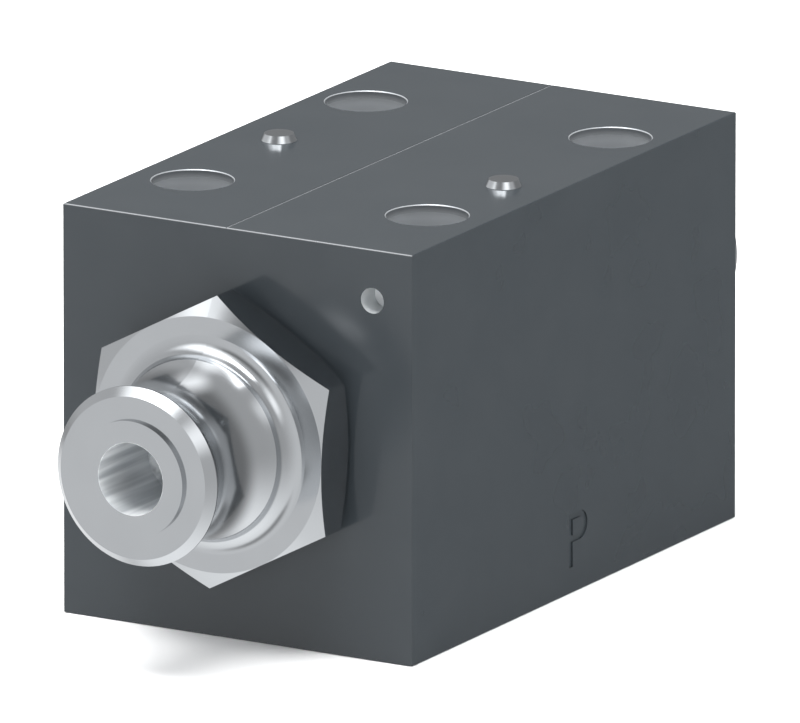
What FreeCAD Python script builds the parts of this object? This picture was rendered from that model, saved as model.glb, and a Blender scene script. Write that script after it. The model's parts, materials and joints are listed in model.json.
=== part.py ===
import FreeCAD, Part
import math
import os
import re
import Sketcher

# Hydraulically piloted directional control valve of the small flange size, three positions.
# The origin is the middle of the flange face. +X is right (the P side), -Y is the front end
# and +Z points up out of the flange face. Lengths are in millimetres, angles in degrees.

SIZES = [
    # Valve block
    ("block_width", 46.0, "block, left to right"),
    ("block_length", 74.0, "block, front end to rear end"),
    ("block_height", 48.3, "block, flange face to top"),
    ("top_edge_round", 0.15, "radius along the top edges"),
    # Flange pattern
    ("bolt_hole", 5.5, "mounting screw hole, diameter"),
    ("bolt_head_bore", 9.5, "counterbore for the screw head, diameter"),
    ("bolt_seat_height", 40.0, "screw head seat above the flange face"),
    ("bolt_rim_bevel", 0.12, "bevel on the rim of the counterbore"),
    ("front_bolt_y", -20.7, "front pair of screws, from the middle"),
    ("bolt_pitch", 40.5, "front pair to rear pair"),
    ("front_bolt_side", 7.5, "front pair, from the sides of the block"),
    ("rear_bolt_side", 6.75, "rear pair, from the sides of the block"),
    ("port_diameter", 7.0, "port drilling, diameter"),
    ("side_port_x", 10.4, "P and T ports, from the middle"),
    ("side_port_y", 0.8, "P and T ports, from the middle"),
    ("port_a_y", -8.0, "A port, from the middle"),
    ("port_b_y", 9.5, "B port, from the middle"),
    ("seal_recess", 12.6, "recess for a port seal, diameter"),
    ("seal_recess_depth", 1.35, "recess for a port seal, depth"),
    ("port_seal_width", 1.65, "port seal, width of its section"),
    ("port_seal_round", 0.5, "port seal, radius of its edges"),
    ("port_seal_gap", 0.05, "port seal to the wall of its recess"),
    # Spool bore and the chambers round it
    ("spool_height", 24.5, "spool axis above the flange face"),
    ("spool_diameter", 12.0, "spool lands, diameter"),
    ("spool_fit", 0.03, "running clearance of the spool, radial"),
    ("chamber_diameter", 18.0, "oil chamber round the spool, diameter"),
    ("chamber_width", 4.0, "oil chamber, along the spool"),
    ("front_tank_y", -16.75, "front tank chamber, from the middle"),
    ("rear_tank_y", 18.25, "rear tank chamber, from the middle"),
    ("port_into_chamber", 1.0, "how far the A and B drillings run into their chambers"),
    ("tank_duct", 5.5, "low tank duct, diameter"),
    ("tank_duct_x", 9.5, "low tank duct, from the middle"),
    ("tank_duct_height", 8.5, "low tank duct above the flange face"),
    ("tank_riser", 5.0, "riser to a tank chamber, diameter"),
    ("tank_riser_x", 9.0, "riser to a tank chamber, from the middle"),
    # Spool
    ("land_overlap", 1.0, "how far a control land laps its chamber each side"),
    ("end_land_gap", 0.75, "tank chamber to the nearer end of the end land"),
    ("spool_waist", 7.5, "spool between its lands, diameter"),
    ("relief_groove_width", 0.5, "pressure relief groove, width"),
    ("relief_groove_depth", 0.4, "pressure relief groove, depth"),
    ("nose_diameter", 6.0, "nose that carries the spring disc, diameter"),
    ("nose_tip", 0.8, "nose beyond its clip groove"),
    ("nose_bevel", 0.4, "bevel on the tip of the nose"),
    ("clip_groove_depth", 0.5, "clip groove, depth"),
    ("clip_groove_play", 0.1, "clip groove wider than the clip"),
    # Pilot caps
    ("cap_thread", 22.0, "threaded hole for a pilot cap, diameter"),
    ("cap_thread_depth", 13.0, "threaded hole for a pilot cap, depth"),
    ("cap_thread_gap", 0.05, "threads of cap and block apart, radial"),
    ("spigot_end_gap", 0.5, "end of the cap to the bottom of its hole"),
    ("spigot_bevel", 0.5, "bevel on the inner end of the cap"),
    ("cap_seal_thickness", 0.7, "seal ring under the hexagon, thickness"),
    ("cap_seal_inset", 1.25, "seal ring inside the flats of the hexagon"),
    ("cap_seal_gap", 0.05, "seal ring to the thread, radial"),
    ("hex_flats", 30.0, "hexagon, across its flats"),
    ("hex_thickness", 6.0, "hexagon, thickness"),
    ("hex_bevel_angle", 30.0, "bevel of the hexagon corners"),
    ("hex_turn", 1.7, "how far the hexagon is turned from corner up"),
    ("root_round", 2.35, "round between the hexagon and the hub"),
    ("hub_diameter", 21.0, "hub in front of the hexagon, diameter"),
    ("neck_length", 13.1, "hub to collar, along the cap"),
    ("neck_diameter", 16.4, "neck at its thinnest"),
    ("collar_diameter", 21.0, "collar at the end of the cap, diameter"),
    ("collar_land", 0.15, "straight rim of the collar"),
    ("collar_bevel", 1.0, "bevel at the front of the collar"),
    ("boss_diameter", 13.6, "raised boss round the pilot bore, diameter"),
    ("boss_height", 0.5, "raised boss, height"),
    ("pilot_bore", 8.5, "pilot bore, diameter"),
    ("pilot_bore_depth", 11.0, "pilot bore, depth"),
    ("pilot_passage", 3.0, "passage behind the pilot bore, diameter"),
    ("orifice_diameter", 5.0, "damping orifice, outer diameter"),
    ("orifice_length", 4.5, "damping orifice, length"),
    ("orifice_hole", 1.0, "hole through the damping orifice"),
    ("orifice_gap", 0.02, "damping orifice to its hole, radial"),
    ("orifice_slot", 1.0, "driver slot of the damping orifice, width and depth"),
    # Springs and what seats them
    ("spring_bore", 14.5, "spring chamber in the cap, diameter"),
    ("spring_seat", 4.5, "outer end of the spring chamber, from the end of the block"),
    ("spring_gap", 0.45, "centring spring to the wall of its chamber"),
    ("spring_wire", 1.4, "centring spring, wire diameter"),
    ("spring_turns", 4.5, "centring spring, turns"),
    ("disc_side_gap", 0.5, "spring disc to the wall of the spring chamber"),
    ("disc_thickness", 1.5, "spring disc, thickness"),
    ("disc_gap", 0.05, "spring disc to the nose, radial"),
    ("clip_side_gap", 0.5, "clip to the inside of the stop sleeve"),
    ("clip_thickness", 0.8, "clip, thickness"),
    ("clip_gap", 0.05, "clip to the bottom of its groove, radial"),
    ("clip_opening", 50.0, "open part of the clip"),
    ("spool_travel", 2.5, "spool travel each way"),
    ("disc_bore_gap", 0.3, "spring disc to the spool bore at full travel the other way"),
    ("stop_gap", 0.05, "spring disc to stop sleeve at full travel"),
    ("sleeve_gap", 0.3, "stop sleeve to the inside of the spring"),
    ("sleeve_wall", 0.7, "stop sleeve, wall"),
    ("sleeve_flange_thickness", 0.8, "flange of the stop sleeve, thickness"),
    # Locating pins and the plugged drilling
    ("pin_diameter", 4.2, "locating pin, diameter"),
    ("pin_gap", 0.01, "locating pin to its hole, radial"),
    ("pin_depth", 6.0, "locating pin below the top face"),
    ("pin_stand", 0.05, "straight part of the pin above the top face"),
    ("pin_cone", 0.8, "cone of the pin, height"),
    ("pin_tip_diameter", 3.45, "flat tip of the pin, diameter"),
    ("left_pin_side", 7.0, "left pin, from the left side of the block"),
    ("left_pin_y", -0.35, "left pin, from the middle"),
    ("right_pin_side", 6.5, "right pin, from the right side of the block"),
    ("right_pin_y", -5.1, "right pin, from the middle"),
    ("drilling_diameter", 3.0, "plugged drilling in the front end, diameter"),
    ("drilling_depth", 8.5, "plugged drilling, depth"),
    ("drilling_side", 5.2, "plugged drilling, from the right side of the block"),
    ("drilling_top", 6.0, "plugged drilling, from the top of the block"),
    ("plug_depth", 3.1, "front of the plug behind the end of the block"),
    ("plug_length", 3.0, "plug, length"),
    ("plug_gap", 0.01, "plug to its drilling, radial"),
    # Port letter and the scribed line along the top
    ("letter_height", 6.35, "port letter P, height"),
    ("letter_foot", 3.0, "foot of the letter above the flange face"),
    ("letter_y", -1.25, "stem of the letter, from the middle"),
    ("letter_width", 4.15, "port letter P, width"),
    ("letter_bowl", 3.45, "bowl of the letter, height"),
    ("letter_stroke", 0.8, "stroke of the letter, width"),
    ("letter_depth", 0.22, "stroke of the letter, depth"),
    ("scribe_x", -1.4, "scribed line, from the middle"),
    ("scribe_width", 0.2, "scribed line, width"),
    ("scribe_depth", 0.06, "scribed line, depth"),
]

doc = FreeCAD.newDocument("DirectionalControlValve")
sheet = doc.addObject("Spreadsheet::Sheet", "Sizes")
for row, (alias, size, meaning) in enumerate(SIZES, start=1):
    sheet.set("A%d" % row, meaning)
    sheet.set("B%d" % row, str(size))
    sheet.setAlias("B%d" % row, alias)
doc.recompute()

UP = FreeCAD.Vector(0, 0, 1)
aliases = {alias for alias, size, meaning in SIZES}
pieces = []


def bound(text):
    """The expression with every alias given its sheet."""
    return re.sub(r"[a-z]\w*", lambda word: "Sizes." + word[0] if word[0] in aliases else word[0], text)


def value(text):
    """What an expression comes to now."""
    found = sheet.evalExpression(bound(text))
    return float(getattr(found, "Value", found))


def new_body(label):
    body = doc.addObject("PartDesign::Body", label)
    body.Label = label
    pieces.append(body)
    return body


def place(piece, x="0", y="0", z="0", turn=0):
    """Put a piece at a point, turned about the upright axis."""
    piece.Placement = FreeCAD.Placement(FreeCAD.Vector(), FreeCAD.Rotation(UP, turn))
    for axis, text in zip("xyz", (x, y, z)):
        piece.setExpression("Placement.Base." + axis, bound(text))


def new_sketch(body, name, role, lift=("0", "0", "0")):
    """A sketch on one of the body's own planes, moved by three expressions in the plane's directions."""
    sketch = body.newObject("Sketcher::SketchObject", name)
    plane = next(feature for feature in body.Origin.OriginFeatures if feature.Role == role)
    sketch.AttachmentSupport = [(plane, "")]
    sketch.MapMode = "FlatFace"
    for axis, text in zip("xyz", lift):
        sketch.setExpression("AttachmentOffset.Base." + axis, bound(text))
    return sketch


def pin_point(sketch, geometry, position, x, y):
    """Tie one point of a sketch to two expressions."""
    for kind, other_axis, text in (("DistanceX", -2, x), ("DistanceY", -1, y)):
        if text == "0":
            sketch.addConstraint(Sketcher.Constraint("PointOnObject", geometry, position, other_axis))
        else:
            index = sketch.addConstraint(Sketcher.Constraint(kind, -1, 1, geometry, position, value(text)))
            sketch.setExpression("Constraints[%d]" % index, bound(text))


def add_outline(sketch, corners):
    """A closed outline. A corner is (x, y), or (x, y, radius, side) where the edge after it is an
    arc of that radius, whose centre lies to the "left" or "right" of the way to the next corner."""
    count = len(corners)
    points = [FreeCAD.Vector(value(corner[0]), value(corner[1]), 0) for corner in corners]
    ends = []
    for step, corner in enumerate(corners):
        start = points[step]
        end = points[(step + 1) % count]
        if len(corner) == 2:
            edge = sketch.addGeometry(Part.LineSegment(start, end), False)
            ends.append((edge, 1, 2))
            continue
        radius = value(corner[2])
        chord = end - start
        across = UP.cross(chord).normalize() * (1 if corner[3] == "left" else -1)
        centre = (start + end) * 0.5 + across * math.sqrt(max(radius ** 2 - (chord.Length / 2) ** 2, 0))
        first, last = (start, end) if corner[3] == "left" else (end, start)
        angles = [math.atan2(point.y - centre.y, point.x - centre.x) for point in (first, last)]
        arc = Part.ArcOfCircle(Part.Circle(centre, UP, radius), angles[0], angles[1])
        edge = sketch.addGeometry(arc, False)
        ends.append((edge, 1, 2) if corner[3] == "left" else (edge, 2, 1))
        index = sketch.addConstraint(Sketcher.Constraint("Radius", edge, radius))
        sketch.setExpression("Constraints[%d]" % index, bound(corner[2]))
    for step, corner in enumerate(corners):
        edge, start_position, end_position = ends[step]
        next_edge, next_position, unused = ends[(step + 1) % count]
        sketch.addConstraint(Sketcher.Constraint("Coincident", edge, end_position, next_edge, next_position))
        pin_point(sketch, edge, start_position, corner[0], corner[1])


def add_circles(sketch, circles):
    """Circles, each (x, y, diameter)."""
    for x, y, diameter in circles:
        centre = FreeCAD.Vector(value(x), value(y), 0)
        edge = sketch.addGeometry(Part.Circle(centre, UP, value(diameter) / 2), False)
        pin_point(sketch, edge, 3, x, y)
        index = sketch.addConstraint(Sketcher.Constraint("Diameter", edge, value(diameter)))
        sketch.setExpression("Constraints[%d]" % index, bound(diameter))


def rectangle(x_low, x_high, y_low, y_high):
    return [(x_low, y_low), (x_high, y_low), (x_high, y_high), (x_low, y_high)]


def extrude(body, name, kind, sketch, length, backwards=False):
    """A pad or a pocket of a sketch."""
    feature = body.newObject("PartDesign::" + kind, name)
    feature.Profile = sketch
    feature.Reversed = backwards
    feature.setExpression("Length", bound(length))
    sketch.Visibility = False
    return feature


def revolve(body, name, kind, sketch, angle="360"):
    """A revolution or a groove of a sketch about its own level axis."""
    feature = body.newObject("PartDesign::" + kind, name)
    feature.Profile = sketch
    feature.ReferenceAxis = (sketch, ["H_Axis"])
    feature.setExpression("Angle", bound(angle))
    sketch.Visibility = False
    return feature


def cut_checked(body, feature):
    """Recompute, and stop if the cut took nothing away."""
    before = feature.BaseFeature.Shape.Volume
    doc.recompute()
    if not body.Shape.Volume < before - 1e-6:
        raise RuntimeError(feature.Name + " cut nothing")


def turned_piece(label, corners, angle="360"):
    """A turned piece with its axis along Y, from the outline of half its section: (y, radius)."""
    body = new_body(label)
    sketch = new_sketch(body, label + "_section", "YZ_Plane")
    add_outline(sketch, corners)
    revolve(body, label + "_turned", "Revolution", sketch, angle)
    return body


# Places that several pieces share
rear_bolt_y = "(front_bolt_y + bolt_pitch)"
bore_radius = "(spool_diameter / 2 + spool_fit)"
bore_end = "(block_length / 2 - cap_thread_depth)"
chambers = ["front_tank_y", "port_a_y", "side_port_y", "port_b_y", "rear_tank_y"]
shoulder = "(%s + spool_travel + disc_bore_gap)" % bore_end
disc_outer = "(%s + disc_thickness)" % shoulder
clip_groove_end = "(%s + clip_thickness + clip_groove_play)" % disc_outer
clip_groove_radius = "(nose_diameter / 2 - clip_groove_depth)"
spring_radius = "(spring_bore / 2 - spring_gap)"
sleeve_outer = "(%s - spring_wire - sleeve_gap)" % spring_radius
sleeve_inner = "(%s - sleeve_wall)" % sleeve_outer
left_pin_x = "(left_pin_side - block_width / 2)"
right_pin_x = "(block_width / 2 - right_pin_side)"
drilling_x = "(block_width / 2 - drilling_side)"
drilling_height = "(block_height - drilling_top)"


def make_valve_body():
    body = new_body("valve_body")
    side = "block_width / 2"
    end = "block_length / 2"
    flange = new_sketch(body, "block_outline", "XY_Plane")
    add_outline(flange, rectangle("-" + side, side, "-" + end, end))
    block = extrude(body, "block", "Pad", flange, "block_height")
    doc.recompute()

    top = value("block_height")
    top_edges = []
    for number, edge in enumerate(block.Shape.Edges, start=1):
        if edge.BoundBox.ZMin > top - 1e-6:
            top_edges.append("Edge%d" % number)
    rounding = body.newObject("PartDesign::Fillet", "top_edges")
    rounding.Base = (block, top_edges)
    rounding.setExpression("Radius", bound("top_edge_round"))
    doc.recompute()

    bore = new_sketch(body, "spool_bore_section", "YZ_Plane", ("0", "spool_height", "0"))
    corners = [("-block_length / 2", "0"), ("-block_length / 2", "cap_thread / 2")]
    corners += [("-" + bore_end, "cap_thread / 2"), ("-" + bore_end, bore_radius)]
    for middle in chambers:
        near = "%s - chamber_width / 2" % middle
        far = "%s + chamber_width / 2" % middle
        corners += [(near, bore_radius), (near, "chamber_diameter / 2")]
        corners += [(far, "chamber_diameter / 2"), (far, bore_radius)]
    corners += [(bore_end, bore_radius), (bore_end, "cap_thread / 2")]
    corners += [("block_length / 2", "cap_thread / 2"), ("block_length / 2", "0")]
    add_outline(bore, corners)
    cut_checked(body, revolve(body, "spool_bore", "Groove", bore))

    screws = []
    for y, side in (("front_bolt_y", "front_bolt_side"), (rear_bolt_y, "rear_bolt_side")):
        screws += [("%s - block_width / 2" % side, y), ("block_width / 2 - %s" % side, y)]
    holes = new_sketch(body, "screw_hole_circles", "XY_Plane")
    add_circles(holes, [(x, y, "bolt_hole") for x, y in screws])
    cut_checked(body, extrude(body, "screw_holes", "Pocket", holes, "block_height", True))
    heads = new_sketch(body, "screw_head_circles", "XY_Plane", ("0", "0", "block_height"))
    add_circles(heads, [(x, y, "bolt_head_bore") for x, y in screws])
    head_bores = extrude(body, "screw_head_bores", "Pocket", heads, "block_height - bolt_seat_height")
    cut_checked(body, head_bores)

    rims = []
    for number, edge in enumerate(head_bores.Shape.Edges, start=1):
        round_edge = isinstance(edge.Curve, Part.Circle)
        if round_edge and edge.BoundBox.ZMin > top - 1e-6 and edge.Curve.Radius > value("bolt_hole / 2"):
            rims.append("Edge%d" % number)
    bevels = body.newObject("PartDesign::Chamfer", "screw_head_rims")
    bevels.Base = (head_bores, rims)
    bevels.setExpression("Size", bound("bolt_rim_bevel"))
    doc.recompute()

    ports = [("side_port_x", "side_port_y"), ("-side_port_x", "side_port_y")]
    ports += [("0", "port_a_y"), ("0", "port_b_y")]
    depths = ["spool_height", "tank_duct_height", "spool_height - chamber_diameter / 2 + port_into_chamber"]
    depths.append(depths[2])
    for name, (x, y), depth in zip("ptab", ports, depths):
        circle = new_sketch(body, "port_%s_circle" % name, "XY_Plane")
        add_circles(circle, [(x, y, "port_diameter")])
        cut_checked(body, extrude(body, "port_%s" % name, "Pocket", circle, depth, True))
    recess = new_sketch(body, "seal_recess_circles", "XY_Plane")
    add_circles(recess, [(x, y, "seal_recess") for x, y in ports])
    cut_checked(body, extrude(body, "seal_recesses", "Pocket", recess, "seal_recess_depth", True))

    duct = new_sketch(body, "tank_duct_section", "YZ_Plane", ("0", "tank_duct_height", "-tank_duct_x"))
    add_outline(duct, rectangle("front_tank_y", "rear_tank_y", "0", "tank_duct / 2"))
    cut_checked(body, revolve(body, "tank_duct", "Groove", duct))
    risers = new_sketch(body, "tank_riser_circles", "XY_Plane", ("0", "0", "tank_duct_height"))
    add_circles(risers, [("-tank_riser_x", y, "tank_riser") for y in ("front_tank_y", "rear_tank_y")])
    cut_checked(body, extrude(body, "tank_risers", "Pocket", risers, "spool_height - tank_duct_height", True))

    pins = new_sketch(body, "pin_hole_circles", "XY_Plane", ("0", "0", "block_height"))
    pin_hole = "pin_diameter + 2 * pin_gap"
    add_circles(pins, [(left_pin_x, "left_pin_y", pin_hole), (right_pin_x, "right_pin_y", pin_hole)])
    cut_checked(body, extrude(body, "pin_holes", "Pocket", pins, "pin_depth"))

    drilling = new_sketch(body, "drilling_circle", "XZ_Plane", ("0", "0", "block_length / 2"))
    add_circles(drilling, [(drilling_x, drilling_height, "drilling_diameter")])
    cut_checked(body, extrude(body, "plugged_drilling", "Pocket", drilling, "drilling_depth"))

    letter = new_sketch(body, "letter_outline", "YZ_Plane", ("letter_y", "letter_foot", "block_width / 2"))
    add_letter_p(letter)
    cut_checked(body, extrude(body, "port_letter", "Pocket", letter, "letter_depth"))

    scribe = new_sketch(body, "scribed_line_outline", "XY_Plane", ("scribe_x", "0", "block_height"))
    half_width = "scribe_width / 2"
    half_length = "block_length / 2"
    add_outline(scribe, rectangle("-" + half_width, half_width, "-" + half_length, half_length))
    cut_checked(body, extrude(body, "scribed_line", "Pocket", scribe, "scribe_depth"))


def add_letter_p(sketch):
    """A stem with a half-round bowl, drawn as one outline with an island."""
    outer = "(letter_bowl / 2)"
    inner = "(letter_bowl / 2 - letter_stroke)"
    straight = "(letter_width - letter_bowl / 2)"
    middle = "(letter_height - letter_bowl / 2)"
    foot = "(letter_height - letter_bowl)"
    stem = [("0", "0"), ("letter_stroke", "0"), ("letter_stroke", foot), (straight, foot, outer, "left")]
    stem += [("letter_width", middle, outer, "left"), (straight, "letter_height"), ("0", "letter_height")]
    add_outline(sketch, stem)
    low = "(%s + letter_stroke)" % foot
    high = "(letter_height - letter_stroke)"
    island = [("letter_stroke", low), (straight, low, inner, "left")]
    island += [("letter_width - letter_stroke", middle, inner, "left")]
    island += [(straight, high), ("letter_stroke", high)]
    add_outline(sketch, island)


def make_spool():
    land = "spool_diameter / 2"
    waist = "spool_waist / 2"
    nose = "nose_diameter / 2"
    groove = clip_groove_radius
    relief = "(spool_diameter / 2 - relief_groove_depth)"

    def end_steps(end):
        """The nose, its clip groove and the end land with two relief grooves, from the tip inwards."""
        tip = "(%s + nose_tip)" % clip_groove_end
        land_end = "(-front_tank_y + chamber_width / 2 + end_land_gap)"
        if end == "":
            land_end = "(rear_tank_y + chamber_width / 2 + end_land_gap)"
        steps = [(tip, "0"), (tip, "(nose_diameter / 2 - nose_bevel)"), ("(%s - nose_bevel)" % tip, nose)]
        steps += [(clip_groove_end, nose), (clip_groove_end, groove)]
        steps += [(disc_outer, groove), (disc_outer, nose)]
        steps += [(shoulder, nose), (shoulder, land)]
        for part in (2, 1):
            middle = "(%s + (%s - %s) * %d / 3)" % (land_end, shoulder, land_end, part)
            far = "(%s + relief_groove_width / 2)" % middle
            near = "(%s - relief_groove_width / 2)" % middle
            steps += [(far, land), (far, relief), (near, relief), (near, land)]
        steps += [(land_end, land), (land_end, waist)]
        return [(end + y, radius) for y, radius in steps]

    corners = end_steps("-")
    for port in ("port_a_y", "port_b_y"):
        near = "(%s - chamber_width / 2 - land_overlap)" % port
        far = "(%s + chamber_width / 2 + land_overlap)" % port
        corners += [(near, waist), (near, land), (far, land), (far, waist)]
    corners += reversed(end_steps(""))
    place(turned_piece("spool", corners), z="spool_height")


def place_at_end(piece, end):
    """End pieces are drawn with +Y pointing out of the block, from the middle of the block's end."""
    if end == "front":
        place(piece, y="-block_length / 2", z="spool_height", turn=180)
    else:
        place(piece, y="block_length / 2", z="spool_height")


# Stations along a pilot cap, out from the end of the block
hex_inner = "cap_seal_thickness"
hex_outer = "(cap_seal_thickness + hex_thickness)"
hub_end = "(%s + root_round)" % hex_outer
collar_start = "(%s + neck_length)" % hub_end
bevel_start = "(%s + collar_land)" % collar_start
collar_end = "(%s + collar_bevel)" % bevel_start
cap_end = "(%s + boss_height)" % collar_end
pilot_bottom = "(%s - pilot_bore_depth)" % cap_end
orifice_end = "(spring_seat + orifice_length)"
spigot_end = "(spigot_end_gap - cap_thread_depth)"
thread_radius = "(cap_thread / 2 - cap_thread_gap)"
flange_face = "(spring_seat - sleeve_flange_thickness)"
disc_face = "(%s - block_length / 2)" % disc_outer


def make_pilot_cap(end):
    """A one-piece cap: threaded spigot, hexagon, waisted neck and a collar with the pilot bore."""
    corner_radius = "(hex_flats / 2 / cos(30 deg))"
    bevel_rise = "((%s - hex_flats / 2) * tan(hex_bevel_angle * 1 deg))" % corner_radius
    hub = "hub_diameter / 2"
    drop = "((hub_diameter - neck_diameter) / 2)"
    neck_round = "((neck_length * neck_length / 4 + %s * %s) / (2 * %s))" % (drop, drop, drop)
    corners = [
        (spigot_end, "spring_bore / 2"),
        (spigot_end, thread_radius + " - spigot_bevel"),
        (spigot_end + " + spigot_bevel", thread_radius),
        (hex_inner, thread_radius),
        (hex_inner, "hex_flats / 2"),
        ("%s + %s" % (hex_inner, bevel_rise), corner_radius),
        ("%s - %s" % (hex_outer, bevel_rise), corner_radius),
        (hex_outer, "hex_flats / 2"),
        (hex_outer, hub + " + root_round", "root_round", "left"),
        (hub_end, hub, neck_round, "left"),
        (collar_start, "collar_diameter / 2"),
        (bevel_start, "collar_diameter / 2"),
        (collar_end, "collar_diameter / 2 - collar_bevel"),
        (collar_end, "boss_diameter / 2"),
        (cap_end, "boss_diameter / 2"),
        (cap_end, "pilot_bore / 2"),
        (pilot_bottom, "pilot_bore / 2"),
        (pilot_bottom, "pilot_passage / 2"),
        (orifice_end, "pilot_passage / 2"),
        (orifice_end, "orifice_diameter / 2 + orifice_gap"),
        ("spring_seat", "orifice_diameter / 2 + orifice_gap"),
        ("spring_seat", "spring_bore / 2"),
    ]
    cap = turned_piece(end + "_pilot_cap", corners)
    doc.recompute()
    flats = new_sketch(cap, end + "_hex_flats", "XZ_Plane", ("0", "0", "-" + hex_inner))
    hexagon = []
    for corner in range(6):
        angle = "(hex_turn * 1 deg + %d deg)" % (30 + 60 * corner)
        hexagon.append(("%s * cos(%s)" % (corner_radius, angle), "%s * sin(%s)" % (corner_radius, angle)))
    add_outline(flats, hexagon)
    add_circles(flats, [("0", "0", "3 * hex_flats")])
    cut_checked(cap, extrude(cap, end + "_hexagon", "Pocket", flats, "hex_thickness"))
    place_at_end(cap, end)


def make_cap_seal(end):
    inner = "cap_thread / 2 + cap_seal_gap"
    outer = "hex_flats / 2 - cap_seal_inset"
    section = rectangle("0", "cap_seal_thickness", inner, outer)
    place_at_end(turned_piece(end + "_cap_seal", section), end)


def make_orifice(end):
    """A screwed-in throttle with a driver slot across the end that faces the spring chamber."""
    corners = rectangle("spring_seat", orifice_end, "orifice_hole / 2", "orifice_diameter / 2")
    orifice = turned_piece(end + "_pilot_orifice", corners)
    doc.recompute()
    slot = new_sketch(orifice, end + "_orifice_slot", "XY_Plane", ("0", "0", "-orifice_slot / 2"))
    edges = rectangle("-orifice_diameter", "orifice_diameter", "0", "spring_seat + orifice_slot")
    add_outline(slot, edges)
    cut_checked(orifice, extrude(orifice, end + "_driver_slot", "Pocket", slot, "orifice_slot", True))
    place_at_end(orifice, end)


def make_stop_sleeve(end):
    """A flanged sleeve under the spring. The spring disc meets its free end at full travel."""
    free_end = "(%s + spool_travel + stop_gap)" % disc_face
    corners = [
        ("spring_seat", sleeve_inner),
        ("spring_seat", spring_radius),
        (flange_face, spring_radius),
        (flange_face, sleeve_outer),
        (free_end, sleeve_outer),
        (free_end, sleeve_inner),
    ]
    place_at_end(turned_piece(end + "_stop_sleeve", corners), end)


def make_spring_disc(end):
    inner_face = "%s - block_length / 2" % shoulder
    rim = "spring_bore / 2 - disc_side_gap"
    section = rectangle(inner_face, disc_face, "nose_diameter / 2 + disc_gap", rim)
    place_at_end(turned_piece(end + "_spring_disc", section), end)


def make_disc_clip(end):
    """An open snap ring in the groove of the nose, against the spring disc."""
    outer_face = "%s + clip_thickness" % disc_face
    rim = sleeve_inner + " - clip_side_gap"
    section = rectangle(disc_face, outer_face, clip_groove_radius + " + clip_gap", rim)
    place_at_end(turned_piece(end + "_disc_clip", section, "360 - clip_opening"), end)


def make_spring(end):
    """A coil of round wire from the spring disc to the flange of the stop sleeve."""
    spring = new_body(end + "_centring_spring")
    wire = new_sketch(spring, end + "_spring_wire", "YZ_Plane")
    start = "%s + spring_wire / 2" % disc_face
    add_circles(wire, [(start, spring_radius + " - spring_wire / 2", "spring_wire")])
    coil = spring.newObject("PartDesign::AdditiveHelix", end + "_coil")
    coil.Profile = wire
    coil.ReferenceAxis = (wire, ["H_Axis"])
    coil.Mode = "height-turns-angle"
    coil.setExpression("Height", bound("%s - %s - spring_wire" % (flange_face, disc_face)))
    coil.setExpression("Turns", bound("spring_turns"))
    place_at_end(spring, end)


def make_port_seal(name, x, y):
    """A seal ring squeezed to the depth of its recess, with rounded edges."""
    body = new_body("port_%s_seal" % name)
    section = new_sketch(body, "port_%s_seal_section" % name, "XZ_Plane")
    outer = "(seal_recess / 2 - port_seal_gap)"
    inner = "(%s - port_seal_width)" % outer
    rounding = "port_seal_round"
    low = rounding
    high = "seal_recess_depth - port_seal_round"
    corners = [
        (inner + " + port_seal_round", "0"),
        (outer + " - port_seal_round", "0", rounding, "left"),
        (outer, low),
        (outer, high, rounding, "left"),
        (outer + " - port_seal_round", "seal_recess_depth"),
        (inner + " + port_seal_round", "seal_recess_depth", rounding, "left"),
        (inner, high),
        (inner, low, rounding, "left"),
    ]
    add_outline(section, corners)
    ring = body.newObject("PartDesign::Revolution", "port_%s_seal_ring" % name)
    ring.Profile = section
    ring.ReferenceAxis = (section, ["V_Axis"])
    section.Visibility = False
    place(body, x, y)


def make_locating_pin(side, x, y):
    """A dowel: a plain shank and a truncated cone above the top face."""
    shank = doc.addObject("Part::Cylinder", side + "_pin_shank")
    shank.setExpression("Radius", bound("pin_diameter / 2"))
    shank.setExpression("Height", bound("pin_depth + pin_stand"))
    cone = doc.addObject("Part::Cone", side + "_pin_cone")
    cone.setExpression("Radius1", bound("pin_diameter / 2"))
    cone.setExpression("Radius2", bound("pin_tip_diameter / 2"))
    cone.setExpression("Height", bound("pin_cone"))
    cone.setExpression("Placement.Base.z", bound("pin_depth + pin_stand"))
    pin = doc.addObject("Part::Fuse", side + "_locating_pin")
    pin.Label = side + "_locating_pin"
    pin.Base = shank
    pin.Tool = cone
    pieces.append(pin)
    place(pin, x, y, "block_height - pin_depth")


def make_drilling_plug():
    """A press-in plug: a plain cylinder, level, behind the front end of the block."""
    plug = doc.addObject("Part::Cylinder", "drilling_plug")
    plug.Label = "drilling_plug"
    plug.setExpression("Radius", bound("drilling_diameter / 2 - plug_gap"))
    plug.setExpression("Height", bound("plug_length"))
    plug.Placement = FreeCAD.Placement(FreeCAD.Vector(), FreeCAD.Rotation(FreeCAD.Vector(1, 0, 0), -90))
    plug.setExpression("Placement.Base.x", bound(drilling_x))
    plug.setExpression("Placement.Base.y", bound("plug_depth - block_length / 2"))
    plug.setExpression("Placement.Base.z", bound(drilling_height))
    pieces.append(plug)


make_valve_body()
make_spool()
for end in ("front", "rear"):
    make_pilot_cap(end)
    make_cap_seal(end)
    make_orifice(end)
    make_stop_sleeve(end)
    make_spring_disc(end)
    make_disc_clip(end)
    make_spring(end)
make_port_seal("p", "side_port_x", "side_port_y")
make_port_seal("t", "-side_port_x", "side_port_y")
make_port_seal("a", "0", "port_a_y")
make_port_seal("b", "0", "port_b_y")
make_locating_pin("left", left_pin_x, "left_pin_y")
make_locating_pin("right", right_pin_x, "right_pin_y")
make_drilling_plug()
doc.recompute()

for thing in doc.Objects:
    if "Invalid" in thing.State or "Error" in thing.State:
        raise RuntimeError("%s failed: %s" % (thing.Name, thing.State))
for piece in pieces:
    if piece.Shape.isNull() or not piece.Shape.isValid() or len(piece.Shape.Solids) != 1:
        raise RuntimeError("%s has no sound solid" % piece.Label)

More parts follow.
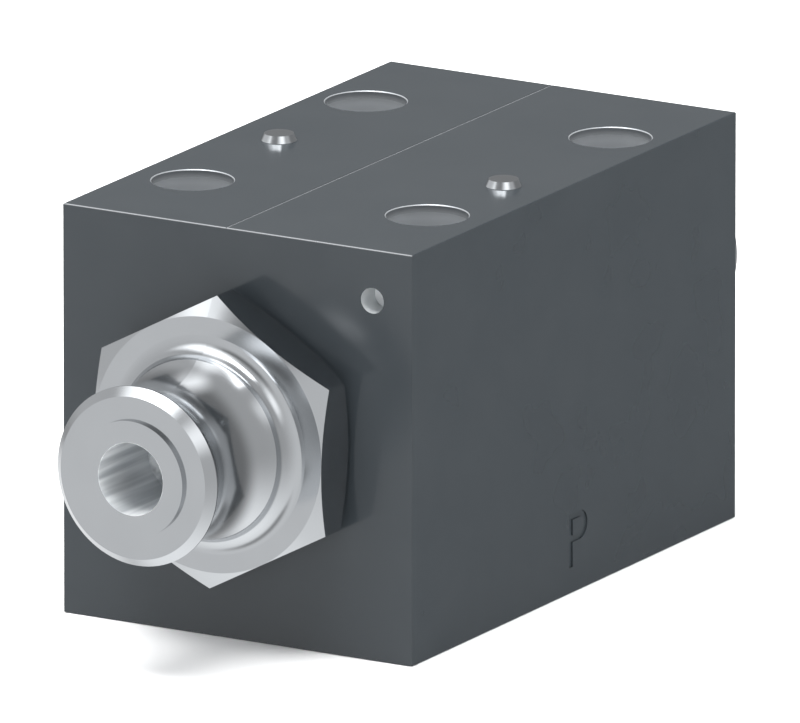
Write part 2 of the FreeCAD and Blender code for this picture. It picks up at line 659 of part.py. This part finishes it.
os.makedirs("parts", exist_ok=True)
for piece in pieces:
    piece.Shape.exportStep("parts/%s.step" % piece.Label)
    box = piece.Shape.BoundBox
    print("%-24s volume %9.1f  z %6.2f to %6.2f" % (piece.Label, piece.Shape.Volume, box.ZMin, box.ZMax))
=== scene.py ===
import json
import math

import bmesh
import bpy
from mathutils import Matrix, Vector


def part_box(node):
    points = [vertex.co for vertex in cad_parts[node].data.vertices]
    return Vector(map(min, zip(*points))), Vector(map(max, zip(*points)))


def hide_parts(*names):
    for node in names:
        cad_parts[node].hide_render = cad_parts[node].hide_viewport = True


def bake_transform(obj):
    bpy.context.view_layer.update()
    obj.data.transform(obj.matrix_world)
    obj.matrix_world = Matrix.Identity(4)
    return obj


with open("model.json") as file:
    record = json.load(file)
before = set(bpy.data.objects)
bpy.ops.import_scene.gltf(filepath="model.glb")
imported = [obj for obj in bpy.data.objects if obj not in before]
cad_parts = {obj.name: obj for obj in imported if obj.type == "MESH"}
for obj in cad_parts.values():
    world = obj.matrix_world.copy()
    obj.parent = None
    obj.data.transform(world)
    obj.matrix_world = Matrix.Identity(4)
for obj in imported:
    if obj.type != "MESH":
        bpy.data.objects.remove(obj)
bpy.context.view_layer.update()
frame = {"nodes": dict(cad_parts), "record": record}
nodes = frame["nodes"]
mm = 0.001
mottle = (0.3, 0.7)  # the part of a noise's range that is spread from none to full
print("frame loaded:", len(nodes), "nodes")


# shader nodes, in short

def newMaterial(name):
    material = bpy.data.materials.new(name)
    material.use_nodes = True
    tree = material.node_tree
    tree.nodes.clear()
    output = tree.nodes.new("ShaderNodeOutputMaterial")
    shader = tree.nodes.new("ShaderNodeBsdfPrincipled")
    tree.links.new(shader.outputs["BSDF"], output.inputs["Surface"])
    return material, tree, shader


def feed(tree, value, socket):
    # a number or colour goes on the socket itself, a socket is linked to it
    if isinstance(value, bpy.types.NodeSocket):
        tree.links.new(value, socket)
    else:
        socket.default_value = value


def calc(tree, operation, first, second=0.0):
    node = tree.nodes.new("ShaderNodeMath")
    node.operation = operation
    feed(tree, first, node.inputs[0])
    feed(tree, second, node.inputs[1])
    return node.outputs[0]


def blendColours(tree, factor, first, second):
    node = tree.nodes.new("ShaderNodeMix")
    node.data_type = "RGBA"
    feed(tree, factor, node.inputs[0])
    feed(tree, first, node.inputs[6])
    feed(tree, second, node.inputs[7])
    return node.outputs[2]


def blendNumbers(tree, factor, first, second):
    node = tree.nodes.new("ShaderNodeMix")
    feed(tree, factor, node.inputs[0])
    feed(tree, first, node.inputs[2])
    feed(tree, second, node.inputs[3])
    return node.outputs[0]


def noise(tree, vector, size, detail=2.0):
    # size is the width of one blotch in metres
    node = tree.nodes.new("ShaderNodeTexNoise")
    node.inputs["Scale"].default_value = 1 / size
    node.inputs["Detail"].default_value = detail
    tree.links.new(vector, node.inputs["Vector"])
    return node.outputs["Fac"]


def spread(tree, value, low, high, outLow=0.0, outHigh=1.0):
    node = tree.nodes.new("ShaderNodeMapRange")
    feed(tree, value, node.inputs["Value"])
    for socket, number in zip(("From Min", "From Max", "To Min", "To Max"), (low, high, outLow, outHigh)):
        node.inputs[socket].default_value = number
    return node.outputs["Result"]


def fade(tree, value, low, high, outLow=0.0, outHigh=1.0):
    # as spread, with soft ends
    result = spread(tree, value, low, high, outLow, outHigh)
    result.node.interpolation_type = "SMOOTHSTEP"
    return result


def splitCoordinates(tree, kind):
    # as one vector, and as x, y and z
    coordinates = tree.nodes.new("ShaderNodeTexCoord")
    split = tree.nodes.new("ShaderNodeSeparateXYZ")
    tree.links.new(coordinates.outputs[kind], split.inputs[0])
    return coordinates.outputs[kind], split.outputs


def bumpFrom(tree, height, depth):
    node = tree.nodes.new("ShaderNodeBump")
    node.inputs["Strength"].default_value = 1.0
    node.inputs["Distance"].default_value = depth
    tree.links.new(height, node.inputs["Height"])
    return node.outputs["Normal"]


def fromAxis(tree, first, second, firstCentre, secondCentre):
    # how far a point is from an axis that runs along the third direction
    a = calc(tree, "SUBTRACT", first, firstCentre)
    b = calc(tree, "SUBTRACT", second, secondCentre)
    return calc(tree, "SQRT", calc(tree, "ADD", calc(tree, "MULTIPLY", a, a), calc(tree, "MULTIPLY", b, b)))


def allOf(tree, *masks):
    result = masks[0]
    for mask in masks[1:]:
        result = calc(tree, "MULTIPLY", result, mask)
    return result


def anyOf(tree, *masks):
    result = masks[0]
    for mask in masks[1:]:
        result = calc(tree, "MAXIMUM", result, mask)
    return result


# block: a dark smooth coat, bare steel in the screw head bores and in the small drilling (its wall painted
# paler as painted light), a worn coat with a painted highlight along the rounded top edge at each cap,
# and a pale scribed line on top

blockLook = {
    "coat": (0.029, 0.035, 0.040, 1),
    "coatPale": (0.032, 0.038, 0.043, 1),
    "coatGloss": 0.17,
    "glossSpread": 0.01,
    "cloud": 9 * mm,
    "grain": 0.9 * mm,
    "grainDepth": 0.0004 * mm,
    "steel": (0.50, 0.52, 0.54, 1),
    "steelGloss": 0.36,
    "steelMetal": 0.58,
    "coatShare": 0.85,  # of the coat that runs over the rim, fading out down the bore's wall
    "coatRun": (0.2 * mm, 1.7 * mm),
    "rim": 0.13 * mm,  # the bevel itself is bare
    # the small drilling's bare steel, painted paler than the bores' steel as painted light on its wall
    "drilledWallPaintedPale": (0.60, 0.62, 0.63, 1),
    "drilledMetal": 0.5,
    "boreRadius": 4.84 * mm,  # the bore and the inner half of its bevelled rim
    "boreFloor": 39.5 * mm,  # just under the floors of the bores
    "drillingRoom": 0.10 * mm,  # between the plug and the bare wall's far side
    "drillingFrom": 0.01 * mm,  # the wall starts this far in
    "scribeAt": -1.4 * mm,  # where the line runs, to the left of the middle
    "scribeHalf": 0.10 * mm,
    "scribeTop": 0.1 * mm,
    "scratch": (0.28, 0.29, 0.30, 1),
    "edge": 0.14 * mm,  # where the coat is rubbed thin, with a painted highlight
    "edgeWearAndHighlight": (0.32, 0.33, 0.34, 1),
    "edgeMetal": 0.9,
    "refraction": 1.5,
}


def makeBlockFinish():
    look = blockLook
    material, tree, shader = newMaterial("blockFinish")
    vector, (x, y, z) = splitCoordinates(tree, "Object")
    low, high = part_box("valve_body")
    mounts = {mount["name"]: mount for mount in frame["record"]["mounts"]}
    mirrored = calc(tree, "ABSOLUTE", x)  # both screws of a pair at once
    rings = []
    for name in ("front_screws", "rear_screws"):
        half = mounts[name]["dims"]["spacing_x_mm"] * mm / 2
        away = fromAxis(tree, mirrored, y, half, mounts[name]["pos_m"][1])
        rings.append(calc(tree, "LESS_THAN", away, look["boreRadius"]))
    coatFrom, coatTo = (high.z - run for run in look["coatRun"])
    bores = allOf(
        tree,
        anyOf(tree, *rings),
        calc(tree, "GREATER_THAN", z, look["boreFloor"]),
        anyOf(
            tree,
            calc(tree, "GREATER_THAN", z, high.z - look["rim"]),
            fade(tree, z, coatTo, coatFrom, 1, 1 - look["coatShare"]),
        ),
    )
    plugLow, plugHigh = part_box("drilling_plug")
    middle = (plugLow + plugHigh) / 2
    reach = (plugHigh.x - plugLow.x) / 2 + look["drillingRoom"]
    drilling = allOf(
        tree,
        calc(tree, "LESS_THAN", fromAxis(tree, x, z, middle.x, middle.z), reach),
        calc(tree, "GREATER_THAN", y, low.y + look["drillingFrom"]),
        calc(tree, "LESS_THAN", y, plugHigh.y),
    )
    fromLine = calc(tree, "ABSOLUTE", calc(tree, "SUBTRACT", x, look["scribeAt"]))
    scribe = allOf(
        tree,
        calc(tree, "LESS_THAN", fromLine, look["scribeHalf"]),
        calc(tree, "GREATER_THAN", z, high.z - look["scribeTop"]),
    )
    bare = anyOf(tree, bores, drilling)
    # front and rear top edge only: worn coat and painted highlight in one
    rubbedAndLitEdges = allOf(
        tree,
        calc(tree, "GREATER_THAN", z, high.z - look["edge"]),
        calc(tree, "GREATER_THAN", calc(tree, "ABSOLUTE", y), high.y - look["edge"]),
    )
    grain = noise(tree, vector, look["grain"], 3)
    cloud = noise(tree, vector, look["cloud"])
    coat = blendColours(tree, spread(tree, cloud, *mottle), look["coat"], look["coatPale"])
    coat = blendColours(tree, scribe, coat, look["scratch"])
    coat = blendColours(tree, rubbedAndLitEdges, coat, look["edgeWearAndHighlight"])
    steel = blendColours(tree, drilling, look["steel"], look["drilledWallPaintedPale"])
    feed(tree, blendColours(tree, bare, coat, steel), shader.inputs["Base Color"])
    metal = anyOf(
        tree,
        calc(tree, "MULTIPLY", bores, look["steelMetal"]),
        calc(tree, "MULTIPLY", drilling, look["drilledMetal"]),
        calc(tree, "MULTIPLY", rubbedAndLitEdges, look["edgeMetal"]),
    )
    feed(tree, metal, shader.inputs["Metallic"])
    glossLow = look["coatGloss"] - look["glossSpread"]
    glossHigh = look["coatGloss"] + look["glossSpread"]
    gloss = spread(tree, grain, *mottle, glossLow, glossHigh)
    feed(tree, blendNumbers(tree, bare, gloss, look["steelGloss"]), shader.inputs["Roughness"])
    feed(tree, bumpFrom(tree, grain, look["grainDepth"]), shader.inputs["Normal"])
    shader.inputs["IOR"].default_value = look["refraction"]
    return material


# steels and brass, all with the fine rings that a lathe leaves

latheMarks = {
    "patch": 6 * mm,  # width of the paler patches
    "glossier": 0.01,
    "duller": 0.02,
}
steelLooks = {
    "platedSteel": {  # bright zinc plate on the caps
        "colour": (0.490, 0.505, 0.520, 1),
        "pale": (0.505, 0.52, 0.535, 1),
        "gloss": 0.13,
        "metal": 1.0,
        "line": 0.12 * mm,
        "depth": 0.00004 * mm,
    },
    "plugPaintedReflection": {  # the plug's end: steel painted near white and matt, a painted reflection of the bright front
        "colour": (0.86, 0.88, 0.89, 1),
        "pale": (0.92, 0.94, 0.95, 1),
        "gloss": 0.45,
        "metal": 0.0,
        "line": 0.06 * mm,
        "depth": 0.0002 * mm,
    },
    "groundSteel": {  # pins, spool, sleeves and discs
        "colour": (0.56, 0.58, 0.60, 1),
        "pale": (0.60, 0.62, 0.64, 1),
        "gloss": 0.14,
        "metal": 1.0,
        "line": 0.06 * mm,
        "depth": 0.0002 * mm,
    },
    "springSteel": {  # springs and clips
        "colour": (0.22, 0.22, 0.23, 1),
        "pale": (0.30, 0.30, 0.31, 1),
        "gloss": 0.30,
        "metal": 1.0,
        "line": 0.20 * mm,
        "depth": 0.0010 * mm,
    },
    "turnedBrass": {  # pilot orifices
        "colour": (0.66, 0.48, 0.20, 1),
        "pale": (0.72, 0.54, 0.25, 1),
        "gloss": 0.22,
        "metal": 1.0,
        "line": 0.08 * mm,
        "depth": 0.0006 * mm,
    },
}


# the caps' pilot bores, with pale streaks along their length: painted reflection

boreLook = {
    "radius": 4.27 * mm,
    "from": 38 * mm,  # the middle of the block
    "colour": (0.46, 0.48, 0.50, 1),
    # the pale tone of the streaks is a painted reflection
    "pale": (0.88, 0.90, 0.91, 1),
    "across": 1.4 * mm,  # width and length of a streak
    "along": 30 * mm,
    "contrast": (0.38, 0.62),
    "metal": 0.35,
    "gloss": 0.30,
}


def boreWall(tree, x, y, z, fromMiddle):
    look = boreLook
    inside = allOf(
        tree,
        calc(tree, "LESS_THAN", fromMiddle, look["radius"]),
        calc(tree, "GREATER_THAN", calc(tree, "ABSOLUTE", y), look["from"]),
    )
    streakSpace = tree.nodes.new("ShaderNodeCombineXYZ")
    widths = (look["across"], look["along"], look["across"])
    for part, width, socket in zip((x, y, z), widths, streakSpace.inputs):
        feed(tree, calc(tree, "DIVIDE", part, width), socket)
    paintedStreak = spread(tree, noise(tree, streakSpace.outputs[0], 1.0), *look["contrast"])  # one unit is one streak
    return inside, blendColours(tree, paintedStreak, look["colour"], look["pale"])


def makeSteel(name, axisHeight):
    look = steelLooks[name]
    material, tree, shader = newMaterial(name)
    vector, (x, y, z) = splitCoordinates(tree, "Object")
    fromMiddle = fromAxis(tree, x, z, 0.0, axisHeight)
    lathe = tree.nodes.new("ShaderNodeCombineXYZ")
    tree.links.new(calc(tree, "ADD", fromMiddle, y), lathe.inputs[0])
    rings = noise(tree, lathe.outputs[0], look["line"], 1)
    patch = spread(tree, noise(tree, vector, latheMarks["patch"]), *mottle)
    colour = blendColours(tree, patch, look["colour"], look["pale"])
    glossLow = look["gloss"] - latheMarks["glossier"]
    glossHigh = look["gloss"] + latheMarks["duller"]
    gloss = spread(tree, rings, *mottle, glossLow, glossHigh)
    metal = look["metal"]
    if name == "platedSteel":
        inside, wall = boreWall(tree, x, y, z, fromMiddle)
        colour = blendColours(tree, inside, colour, wall)
        gloss = blendNumbers(tree, inside, gloss, boreLook["gloss"])
        metal = blendNumbers(tree, inside, metal, boreLook["metal"])
    feed(tree, colour, shader.inputs["Base Color"])
    feed(tree, gloss, shader.inputs["Roughness"])
    feed(tree, metal, shader.inputs["Metallic"])
    feed(tree, bumpFrom(tree, rings, look["depth"]), shader.inputs["Normal"])
    return material


rubberLook = {
    "colour": (0.012, 0.012, 0.013, 1),
    "dust": (0.030, 0.030, 0.031, 1),
    "dusty": (0.35, 0.8),
    "gloss": 0.6,
    "grain": 0.15 * mm,
    "depth": 0.004 * mm,
}


def makeRubber():
    look = rubberLook
    material, tree, shader = newMaterial("sealRubber")
    vector = splitCoordinates(tree, "Object")[0]
    grain = noise(tree, vector, look["grain"], 3)
    dusty = spread(tree, grain, *look["dusty"])
    feed(tree, blendColours(tree, dusty, look["colour"], look["dust"]), shader.inputs["Base Color"])
    feed(tree, bumpFrom(tree, grain, look["depth"]), shader.inputs["Normal"])
    shader.inputs["Roughness"].default_value = look["gloss"]
    return material


spoolLow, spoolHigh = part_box("spool")
spoolAxis = (spoolLow.z + spoolHigh.z) / 2
finishes = {name: makeSteel(name, spoolAxis) for name in steelLooks}
finishes["blockFinish"] = makeBlockFinish()
finishes["sealRubber"] = makeRubber()
slotFinish = {
    "block": "blockFinish",
    "plated_steel": "platedSteel",
    "ground_steel": "groundSteel",
    "spring_steel": "springSteel",
    "orifice_brass": "turnedBrass",
    "seal_rubber": "sealRubber",
}
ownFinish = {"drilling_plug": "plugPaintedReflection"}
slotOf = {part["node"]: part["material_slot"] for part in frame["record"]["subparts"]}
for name, node in nodes.items():
    for materialSlot in node.material_slots:
        materialSlot.material = finishes[ownFinish.get(name, slotFinish[slotOf[name]])]
print("finishes on", len(nodes), "nodes")


# centring springs with closed and ground ends, from the stop sleeve's flange to the spring disc

springShape = {
    "wire": 1.4 * mm,
    "turns": 5.5,
    "closedTurns": 1.0,  # at each end
    "ground": 0.35,  # share of the wire that is left past the middle of an end coil
    "closedLift": 0.5,  # share of the wire that each closed end rises
    "stepsPerTurn": 48,
    "roundSteps": 16,
}


def wireMiddle(turn, length):
    # how far along the spring the middle of the wire is after so many turns
    shape = springShape
    closed = shape["closedTurns"]
    share = min(max((turn - closed) / (shape["turns"] - 2 * closed), 0), 1)
    start = min(turn, closed) / closed
    finish = min(max(turn - shape["turns"] + closed, 0), closed) / closed
    edge = shape["wire"] * shape["ground"]
    lift = shape["wire"] * shape["closedLift"]
    return edge + lift * (start + finish) + share * (length - 2 * edge - 2 * lift)


def makeSpring(end):
    shape = springShape
    low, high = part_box(end + "_centring_spring")
    discLow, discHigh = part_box(end + "_spring_disc")
    seat = low.y if end == "front" else high.y  # against the sleeve, fixed in the housing
    disc = discLow.y if end == "front" else discHigh.y  # against the disc, which the spool carries
    length = abs(seat - disc)
    away = 1 if seat > disc else -1
    radius = (high.x - low.x) / 2 - shape["wire"] / 2
    rings = []
    mesh = bmesh.new()
    for step in range(int(shape["turns"] * shape["stepsPerTurn"]) + 1):
        turn = step / shape["stepsPerTurn"]
        angle = 2 * math.pi * turn
        ring = []
        for corner in range(shape["roundSteps"]):
            bend = 2 * math.pi * corner / shape["roundSteps"]
            out = radius + shape["wire"] / 2 * math.cos(bend)
            along = wireMiddle(turn, length) + shape["wire"] / 2 * math.sin(bend)
            along = min(max(along, 0.0), length)  # ground flat at both ends
            point = (out * math.cos(angle), disc + away * along, spoolAxis + out * math.sin(angle))
            ring.append(mesh.verts.new(point))
        rings.append(ring)
    for one, other in zip(rings, rings[1:]):
        for corner in range(shape["roundSteps"]):
            following = (corner + 1) % shape["roundSteps"]
            mesh.faces.new((one[corner], one[following], other[following], other[corner]))
    mesh.faces.new(rings[0])
    mesh.faces.new(reversed(rings[-1]))
    bmesh.ops.recalc_face_normals(mesh, faces=mesh.faces)
    data = bpy.data.meshes.new(end + "CentringSpring")
    mesh.to_mesh(data)
    mesh.free()
    data.shade_smooth()
    data.materials.append(finishes["springSteel"])
    spring = bpy.data.objects.new(end + "CentringSpring", data)
    bpy.context.scene.collection.objects.link(spring)
    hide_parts(end + "_centring_spring")
    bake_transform(spring)


for end in ("front", "rear"):
    makeSpring(end)
print("centring springs wound")


# floor, studio and camera

floorLook = {
    "colour": (0.94, 0.94, 0.94, 1),
    "gloss": 0.9,
    "half": 3.0,
    "drop": 0.1 * mm,
}


def makeFloor():
    look = floorLook
    half = look["half"]
    corners = [(-half, -half), (half, -half), (half, half), (-half, half)]
    data = bpy.data.meshes.new("floor")
    data.from_pydata([(x, y, -look["drop"]) for x, y in corners], [], [(0, 1, 2, 3)])
    material, tree, shader = newMaterial("floorPaint")
    shader.inputs["Base Color"].default_value = look["colour"]
    shader.inputs["Roughness"].default_value = look["gloss"]
    data.materials.append(material)
    floor = bpy.data.objects.new("floor", data)
    bpy.context.scene.collection.objects.link(floor)
    floor.visible_glossy = False  # the steel mirrors the studio's even tones instead


studioTones = {  # brightness of the studio in each direction, mixed smoothly between them
    "front": 0.90,
    "rear": 0.60,
    "right": 0.58,
    "left": 0.70,
    "above": 0.58,
    "below": 1.45,
}
darkRear = {"tone": 0.26, "from": 0.11, "to": 0.53}  # shares of the way to straight behind
studioTint = (1.0, 1.01, 1.02, 1)
backdropTone = 1.1  # what the camera sees past the floor's edge, as white as the floor
panels = {  # soft cards around the piece: half sizes and soft edge as shares of their distance
    "leftCard": {"azimuth": -44, "elevation": 54.6, "half": (0.29, 0.43), "soft": 0.47, "tone": 2.72},
    "rearCard": {"azimuth": -141, "elevation": 57, "half": (0.14, 0.31), "soft": 0.50, "tone": 2.0},
    "ceiling": {"azimuth": 2, "elevation": 70, "half": (0.36, 0.14), "soft": 0.15, "tone": 6.2},
    "rightCard": {"azimuth": 53, "elevation": 33, "half": (0.26, 0.20), "soft": 0.40, "tone": 1.75},
    "frontGap": {"azimuth": -6, "elevation": 36, "half": (0.40, 0.14), "soft": 0.40, "tone": 0.20},
    "lowGap": {"azimuth": -10, "elevation": -41, "half": (0.30, 0.13), "soft": 0.28, "tone": 0.40},
    "lowCard": {"azimuth": -107, "elevation": -31, "half": (0.80, 0.39), "soft": 0.31, "tone": 1.15},
}


def directionTo(azimuth, elevation):
    # azimuth 0 is the front, where -Y points, and it grows towards +X
    azimuth = math.radians(azimuth)
    elevation = math.radians(elevation)
    level = math.cos(elevation)
    return Vector((math.sin(azimuth) * level, -math.cos(azimuth) * level, math.sin(elevation)))


def dotWith(tree, vector, axis):
    node = tree.nodes.new("ShaderNodeVectorMath")
    node.operation = "DOT_PRODUCT"
    tree.links.new(vector, node.inputs[0])
    node.inputs[1].default_value = axis
    return node.outputs["Value"]


def maskOfPanel(tree, ray, look):
    middle = directionTo(look["azimuth"], look["elevation"])
    across = directionTo(look["azimuth"] + 90, 0)
    ahead = dotWith(tree, ray, middle)
    nearest = 0.05  # keeps the division below safe
    depth = calc(tree, "MAXIMUM", ahead, nearest)
    masks = [calc(tree, "GREATER_THAN", ahead, nearest)]
    for axis, half in zip((across, middle.cross(across)), look["half"]):
        away = calc(tree, "DIVIDE", calc(tree, "ABSOLUTE", dotWith(tree, ray, axis)), depth)
        masks.append(fade(tree, away, half - look["soft"] / 2, half + look["soft"] / 2, 1, 0))
    return allOf(tree, *masks)


def makeStudio():
    world = bpy.data.worlds.new("studio")
    world.use_nodes = True
    tree = world.node_tree
    background = tree.nodes["Background"]
    ray, (x, y, z) = splitCoordinates(tree, "Generated")
    strength = 0.0
    for axis, negative, positive in zip((x, y, z), ("left", "front", "below"), ("right", "rear", "above")):
        side = calc(tree, "GREATER_THAN", axis, 0.0)
        tone = blendNumbers(tree, side, studioTones[negative], studioTones[positive])
        share = calc(tree, "MULTIPLY", axis, axis)
        strength = calc(tree, "ADD", strength, calc(tree, "MULTIPLY", share, tone))
    rear = fade(tree, y, darkRear["from"], darkRear["to"])
    strength = blendNumbers(tree, rear, strength, darkRear["tone"])
    for look in panels.values():
        strength = blendNumbers(tree, maskOfPanel(tree, ray, look), strength, look["tone"])
    seenDirectly = tree.nodes.new("ShaderNodeLightPath").outputs["Is Camera Ray"]
    strength = blendNumbers(tree, seenDirectly, strength, backdropTone)
    background.inputs["Color"].default_value = studioTint
    tree.links.new(strength, background.inputs["Strength"])
    bpy.context.scene.world = world


lights = {  # seen from the object: azimuth, elevation, distance, width and height in metres, brightness
    "overhead": {"azimuth": 0, "elevation": 82, "distance": 0.90, "size": (0.80, 0.66), "glow": 8.8},
    "rightFill": {"azimuth": 105, "elevation": 5, "distance": 1.10, "size": (0.80, 0.60), "glow": 5.3},
}


def makeLights():
    middle = Vector((0, 0, spoolAxis))
    for name, lamp in lights.items():
        back = directionTo(lamp["azimuth"], lamp["elevation"])
        width, height = lamp["size"]
        data = bpy.data.lights.new(name, "AREA")
        data.shape = "RECTANGLE"
        data.size = width
        data.size_y = height
        data.energy = lamp["glow"] * math.pi * width * height
        light = bpy.data.objects.new(name, data)
        bpy.context.scene.collection.objects.link(light)
        light.location = middle + back * lamp["distance"]
        light.rotation_mode = "QUATERNION"
        light.rotation_quaternion = (-back).to_track_quat("-Z", "Y")
        light.visible_camera = False
        light.visible_glossy = False  # the steel mirrors the soft cards instead


# the photograph is a parallel view from azimuth 30 and elevation 15: a long lens comes within about
# two pixels of it nearly everywhere, and a longer one leaves the piece out of reach in the other views

viewShape = {
    "azimuth": 30.25,
    "elevation": 15.165,
    "lens": 1550.0,
    "sensor": 36.0,
    "near": 0.1,
    "far": 12.0,
    "widthInView": 91.848 * mm,  # what the picture spans at the object
    "right": -0.137 * mm,  # middle of the picture from the origin
    "up": 23.240 * mm,
}


def makeCamera():
    back = directionTo(viewShape["azimuth"], viewShape["elevation"])
    right = directionTo(viewShape["azimuth"] + 90, 0)
    up = back.cross(right)
    distance = viewShape["widthInView"] * viewShape["lens"] / viewShape["sensor"]
    data = bpy.data.cameras.new("camera")
    data.lens = viewShape["lens"]
    data.sensor_width = viewShape["sensor"]
    data.clip_start = viewShape["near"]
    data.clip_end = viewShape["far"]
    camera = bpy.data.objects.new("camera", data)
    bpy.context.scene.collection.objects.link(camera)
    camera.location = right * viewShape["right"] + up * viewShape["up"] + back * distance
    camera.rotation_mode = "QUATERNION"
    camera.rotation_quaternion = (-back).to_track_quat("-Z", "Y")
    bpy.context.scene.camera = camera


makeFloor()
makeStudio()
makeLights()
makeCamera()
bpy.context.scene.view_settings.view_transform = "Standard"
print("floor, studio and camera set")
